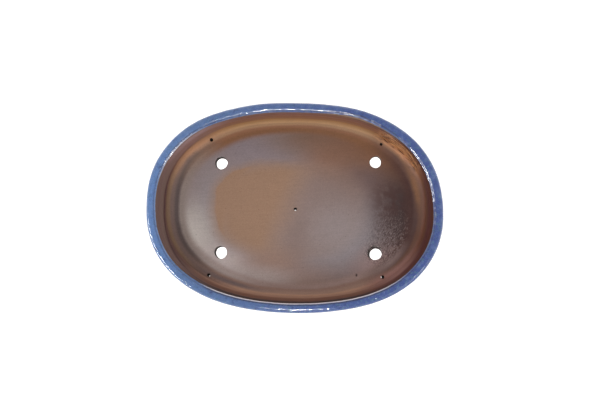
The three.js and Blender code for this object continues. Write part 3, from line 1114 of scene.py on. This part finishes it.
def clay_material():
    """Bare stoneware: reddish on the wall, tan in the cove and cloudy on the floor."""
    g = Graph("stoneware_clay")
    cove = g.attribute("cove")
    inside = g.attribute("inside")
    broad = g.noise(34, 3, 0.5, shift=3)
    patchy = g.noise(9, 3, 0.6, shift=8)
    grain = g.noise(1.3, 3, 0.65, shift=1)
    fine = g.noise(0.6, 2, 0.6, shift=5)
    uneven = broad - 0.5 + (patchy - 0.5) * 0.3
    mottled = broad + patchy * 0.4

    colour, mark = floor_colour(g, g.x + uneven * 9, g.y - uneven * 7)
    colour = inside_colour(g, colour, cove, uneven, mottled)

    # Runs of melted ash on the back right of the wall.
    run_zone = g.step(g.spot((108, 62), (46, 44)), 0.12, 0.6)
    run_zone = run_zone * g.step(g.z, 17.5, 24) * g.step(g.z, 60, 52)
    runs = g.noise(2.0, 2, 0.5, stretch=(9, 1.0, 1.3), turn=math.radians(-42), shift=2)
    bright_run = run_zone * g.step(runs, 0.54, 0.60) * 0.9
    dark_run = run_zone * g.step(runs, 0.45, 0.39)
    colour = g.tint(colour, (bright_run, (226, 166, 112)), (dark_run, (58, 28, 20)))

    # Underneath the clay is its own colour, and the walls of the holes are painted dark as shade.
    bare = g.mix(patchy, srgb(128, 104, 86), srgb(150, 122, 100))
    colour = g.mix(inside, bare, colour)
    colour = g.tint(colour, (g.step(g.attribute("bore"), 0.15, 0.75), (34, 24, 20)))

    # Sandy grain, brush marks, cloudiness and iron specks.
    brushed = g.noise(2.2, 2, 0.6, stretch=(9, 0.7, 1), turn=math.radians(6), shift=17)
    light = 1.0
    for texture, contrast in ((grain, 0.40), (fine, 0.36), (brushed, 0.16), (patchy, 0.12)):
        light = light + (texture - 0.5) * contrast
    colour = g.shade(colour, light)
    specks = g.step(g.noise(1.8, 1, 0.5, shift=12), 0.73, 0.79)
    colour = g.tint(colour, (specks * 0.35, (60, 40, 34)))
    scraped = g.spot((104, -34), (40, 54)) * g.step(cove, 0.8, 1.2)
    scratches = g.noise(1.5, 2, 0.6, stretch=(0.6, 2.4, 1), turn=math.radians(-24), shift=6)
    colour = scraped_colour(g, colour, scraped, scratches, patchy)
    g.set("Base Color", colour)

    # The mark, the cove and the bare underside are matt; scraped clay and ash runs have a sheen.
    rounded_cove = g.step(cove, 0.0, 0.15) * g.step(cove, 1.2, 0.9)
    rough = 0.46 + mark * 0.22 + rounded_cove * 0.16 - scraped * 0.12 - run_zone * 0.25
    rough += (patchy - 0.5) * 0.16 + (grain - 0.5) * 0.12 + (1 - inside) * 0.3
    g.set("Roughness", rough)
    g.set("IOR", 1.5)
    g.set("Specular IOR Level", 0.28)

    normal = g.bump(grain * 0.6 + fine * 0.4, 0.1)
    normal = g.bump(scratches * (0.08 + scraped * 0.42), 0.3, normal)
    normal = g.bump(runs * run_zone, 1.1, normal)
    g.set("Normal", normal)
    return g.material


def glaze_body(g, lip_edge, foot_edge, clouds, mottle, speckle):
    """Blue, greener to the left and more violet to the right, with darker runs down the wall and
    painted shade along the lip's outer edge.
    """
    violet = g.step(g.x + (clouds - 0.5) * 120, -150, 110)
    teal = g.step(mottle, 0.50, 0.66) * g.step(g.x - g.y, -120, 160, 0.35, 0.7)
    runs = g.noise(5, 3, 0.55, stretch=(1, 1, 7), shift=7) * 0.6 + clouds * 0.4
    colour = g.tint(
        g.mix(violet, srgb(80, 110, 158), srgb(52, 74, 138)),
        (g.step(g.x, -95, -150, 0, 0.7), (92, 128, 186)),
        (teal, (66, 104, 132)),
        (g.step(runs, 0.50, 0.68, 0, 0.35), (112, 136, 178)),
        (g.step(runs, 0.46, 0.32, 0, 0.7), (32, 46, 102)),
        (g.step(speckle, 0.60, 0.74, 0, 0.4), (128, 152, 190)),
        (g.step(speckle, 0.42, 0.28, 0, 0.45), (32, 46, 96)),
        # painted shade: a dark band where the lip's outer edge turns down
        (g.band(lip_edge, 13.0, 2.6) * 0.85, (22, 32, 74)),
    )
    # It lies thicker and darker on the wall, and gathers under the lip and at the foot.
    streaks = g.noise(4.2, 3, 0.6, stretch=(1, 1, 9), shift=51)
    thick_run = g.step(streaks * 0.7 + clouds * 0.3, 0.36, 0.64)
    gathers = g.math("MAXIMUM", g.band(lip_edge, 20.0, 4.0), g.band(foot_edge, 3.0, 4.0))
    wall_shade = (0.52 + thick_run * 0.22) * (1 - gathers * 0.45)
    return g.mix(g.step(lip_edge, 13, 22), colour, g.shade(colour, wall_shade))


def glaze_edges(g, colour, lip_edge, foot_edge, clouds, mottle):
    """Thin glaze breaks white over the lip's inner edge, most at the front, and brown below. That
    white line is partly a painted highlight, strongest at the front, and the white dashes at the
    back left are painted glints.
    """
    forward = g.step(g.y + (clouds - 0.5) * 30, -55, -92)
    back_left = g.spot((-126, 58), (46, 46))
    dull = g.spot((-104, -76), (34, 34))
    gathered = g.spot((62, 90), (66, 40))
    # how strong the pale break is, with the painted highlight it carries, most at the front and the
    # back left
    break_and_highlight_strength = 0.08 + forward * 0.92 + back_left * 0.7 - dull * 0.8
    break_and_highlight_strength = g.math("MINIMUM", break_and_highlight_strength, 1.0)
    dark_line = g.band(lip_edge, 2.6, 1.3) * (0.35 + break_and_highlight_strength * 0.5 + gathered * 0.5)
    break_and_highlight_line = g.band(lip_edge + (mottle - 0.5) * 0.5, 0.75, 1.55)
    # painted glints: white dashes at the back left of the lip's edge
    painted_glint_flecks = g.step(g.noise(2.0, 1, 0.4, shift=33), 0.53, 0.60)
    return g.tint(
        colour,
        (dark_line, (34, 36, 74)),
        (break_and_highlight_line * g.math("MAXIMUM", break_and_highlight_strength, 0.0), (232, 226, 230)),
        (g.band(lip_edge, 2.1, 0.6) * painted_glint_flecks * back_left, (240, 240, 244)),
        (g.band(lip_edge, 0.0, 1.0) * (1 - break_and_highlight_strength) * 0.8, (34, 26, 38)),
        (g.step(g.attribute("thickness"), 1.0, 1.2, 0, 0.5), (34, 52, 110)),
        (g.band(foot_edge, 0.0, 1.1) * 0.8, (104, 82, 74)),
    )


def glaze_material():
    """A glossy blue glaze, pale where it is thin on the edges and dark where it gathers, with a
    painted highlight and painted glints along the lip's inner edge and painted shade along its outer
    edge.
    """
    g = Graph("blue_glaze")
    lip_edge = g.attribute("from_lip_edge")
    foot_edge = g.attribute("from_foot_edge")
    clouds = g.noise(16, 3, 0.55, shift=4)
    mottle = g.noise(4.5, 3, 0.6, shift=9)
    speckle = g.noise(0.9, 2, 0.6, shift=2)
    colour = glaze_body(g, lip_edge, foot_edge, clouds, mottle, speckle)
    colour = glaze_edges(g, colour, lip_edge, foot_edge, clouds, mottle)
    colour = g.shade(colour, 1.0 + (speckle - 0.5) * 0.25)
    g.set("Base Color", colour)

    # Dry smears break the glints inside the lip, and the front right of it is duller.
    smears = g.step(g.noise(7, 1, 0.3, shift=71), 0.5, 0.57) * g.band(lip_edge, 2.0, 4.5)
    dusty = g.spot((118, -84), (76, 60)) * g.step(lip_edge, 5, 9)
    rough = 0.075 + smears * 0.3 + dusty * 0.45
    rough += (mottle - 0.5) * 0.04 + g.band(foot_edge, 0, 1.5) * 0.2
    g.set("Roughness", rough)
    coat = 0.35 - smears * 0.3 - dusty * 0.35
    g.set("Coat Weight", coat)
    g.set("Coat Roughness", 0.04)
    g.set("IOR", 1.52)

    ripple = g.noise(3.2, 2, 0.5, shift=15)
    dimple = g.noise(9, 2, 0.5, shift=61)
    normal = g.bump(dimple * 3.6 + ripple, 0.3)
    pores = g.step(g.noise(1.3, 1, 0.5, shift=21), 0.70, 0.78)
    normal = g.bump(speckle * 0.25 - pores * 0.8, 0.06, normal)
    g.set("Normal", normal)
    return g.material


# ---------------------------------------------------------------- the pot
clay = clay_material()
glaze = glaze_material()

lip_outside = resample(chain(LIP_UNDERSIDE, SHOULDER, BRINK), 0.8)
clay_ring("rim_lip", lip_outside, resample(BORE, 0.8)[1:], clay)
clay_ring("wall", resample(SIDE, 1.6), resample(WALL_INSIDE, 0.8), clay)
make_base(clay)
make_glaze(glaze)
for end_name, towards_y in (("front", -1), ("back", 1)):
    for side_name, towards_x in (("left", -1), ("right", 1)):
        make_foot(f"foot_{end_name}_{side_name}", towards_x, towards_y, clay)
        make_foot_glaze(f"foot_glaze_{end_name}_{side_name}", towards_x, towards_y, glaze)


# ---------------------------------------------------------------- stage, lights and camera
# Glow of the paper: an even glow everywhere, and painted light over the drain holes and near the
# pot, which lifts the pot's shadow there.
PAPER_GLOW = 0.62
HOLE_PAINTED_LIGHT = 0.5
NEAR_POT_PAINTED_LIGHT = 0.22
NEAR_REACH = (300, 250)
PAPER_HALF = 30000.0


def make_stage():
    """A sheet of paper under the pot. It glows a little, as on a light table, and more under the
    drain holes and near the pot, as painted light that lifts the pot's shadow.
    """
    g = Graph("pale_floor")
    dust = g.noise(60, 2, 0.5)
    g.set("Base Color", g.mix(dust, srgb(194, 194, 194), srgb(198, 198, 198)))
    g.set("Roughness", 0.9)
    g.set("Specular IOR Level", 0.1)
    g.set("Emission Color", (1, 1, 1, 1))
    glow = PAPER_GLOW
    # painted light: extra glow under the drain holes and near the pot
    for drain in DRAINS:
        glow = glow + g.step(g.away(drain["at"], (1, 1)), 9.0, 13.0, HOLE_PAINTED_LIGHT, 0.0)
    glow = glow + g.step(g.away((0, 0), NEAR_REACH), 0.3, 1.0, NEAR_POT_PAINTED_LIGHT, 0.0)
    g.set("Emission Strength", glow)
    half = PAPER_HALF * MM
    mesh = bpy.data.meshes.new("stage_floor")
    corners = [(-half, -half, 0), (half, -half, 0), (half, half, 0), (-half, half, 0)]
    mesh.from_pydata(corners, [], [(0, 1, 2, 3)])
    mesh.materials.append(g.material)
    floor = bpy.data.objects.new("stage_floor", mesh)
    bpy.context.scene.collection.objects.link(floor)


def aim(at, target, above, roll=0.0):
    """A matrix at a place, looking down its own -Z at the target, with its +Y leaning to above."""
    back = (Vector(at) - Vector(target)).normalized()
    side = Vector(above).cross(back).normalized()
    up = back.cross(side)
    c, s = math.cos(roll), math.sin(roll)
    matrix = Matrix((side * c + up * s, up * c - side * s, back)).transposed().to_4x4()
    matrix.translation = Vector(at)
    return matrix


def area_light(name, at, wide, tall, radiance, lights):
    """A panel of light that faces the pot. It either brightens surfaces ("soft") or only shows in
    their gloss ("glints")."""
    data = bpy.data.lights.new(name, "AREA")
    data.shape = "RECTANGLE"
    data.size = wide * MM
    data.size_y = tall * MM
    data.energy = radiance * math.pi * data.size * data.size_y
    lamp = bpy.data.objects.new(name, data)
    lamp.visible_camera = False
    lamp.visible_diffuse = lights == "soft"
    lamp.visible_glossy = lights == "glints"
    bpy.context.scene.collection.objects.link(lamp)
    lamp.matrix_world = aim(Vector(at) * MM, Vector(MIDDLE) * MM, (0, 0, 1))


def towards(azimuth, elevation, distance):
    """A place seen from the pot in that direction, azimuth counted from +X towards +Y."""
    a, e = math.radians(azimuth), math.radians(elevation)
    flat = math.cos(e) * distance
    return (math.cos(a) * flat, math.sin(a) * flat, TOP + math.sin(e) * distance)


# Brightness of the studio behind the pot and above it.
HORIZON = 1.03
ZENITH = 0.78


def make_world():
    """An even pale studio, whitest at the horizon."""
    world = bpy.data.worlds.new("studio")
    world.use_nodes = True
    nodes = world.node_tree.nodes
    links = world.node_tree.links
    coordinates = nodes.new("ShaderNodeTexCoord")
    split = nodes.new("ShaderNodeSeparateXYZ")
    fade = nodes.new("ShaderNodeMapRange")
    fade.interpolation_type = "SMOOTHSTEP"
    limits = {"From Min": 0.08, "From Max": 0.6, "To Min": HORIZON, "To Max": ZENITH}
    for socket, value in limits.items():
        fade.inputs[socket].default_value = value
    links.new(coordinates.outputs["Generated"], split.inputs[0])
    links.new(split.outputs["Z"], fade.inputs["Value"])
    links.new(fade.outputs["Result"], nodes["Background"].inputs["Strength"])
    nodes["Background"].inputs["Color"].default_value = (1, 1, 1, 1)
    bpy.context.scene.world = world


make_stage()
make_world()
bpy.context.scene.view_settings.view_transform = "Standard"

# Each light's azimuth, elevation and distance, its width and height, its radiance and its kind.
MIDDLE = (0, 0, 60)
LIGHTS = {
    "soft_front": ((262, 58, 1000), (420, 300), 6, "soft"),
    "glint_left": ((214, 13, 1100), (400, 70), 74, "glints"),
    "glint_far_left": ((194, 15, 1100), (330, 140), 30, "glints"),
    "glint_front": ((269, 46, 1000), (60, 70), 420, "glints"),
    "glint_right": ((320, 20, 1100), (240, 130), 22, "glints"),
}
for light_name, (direction, size, radiance, kind) in LIGHTS.items():
    area_light(light_name, towards(*direction), *size, radiance, kind)

# The photo was taken from almost straight above, by a camera that was turned by a degree.
CAMERA_AT = (40, -22, 815)
CAMERA_TARGET = (6.91, 6.98, 65)
CAMERA_ROLL = 0.023
CAMERA_LENS = 44.87
camera_data = bpy.data.cameras.new("camera")
camera_data.sensor_width = 36
camera_data.lens = CAMERA_LENS
camera_data.clip_start = 0.01
camera_data.clip_end = 50
camera = bpy.data.objects.new("camera", camera_data)
bpy.context.scene.collection.objects.link(camera)
camera.matrix_world = aim(
    Vector(CAMERA_AT) * MM, Vector(CAMERA_TARGET) * MM, (0, 1, 0), CAMERA_ROLL
)
bpy.context.scene.camera = camera
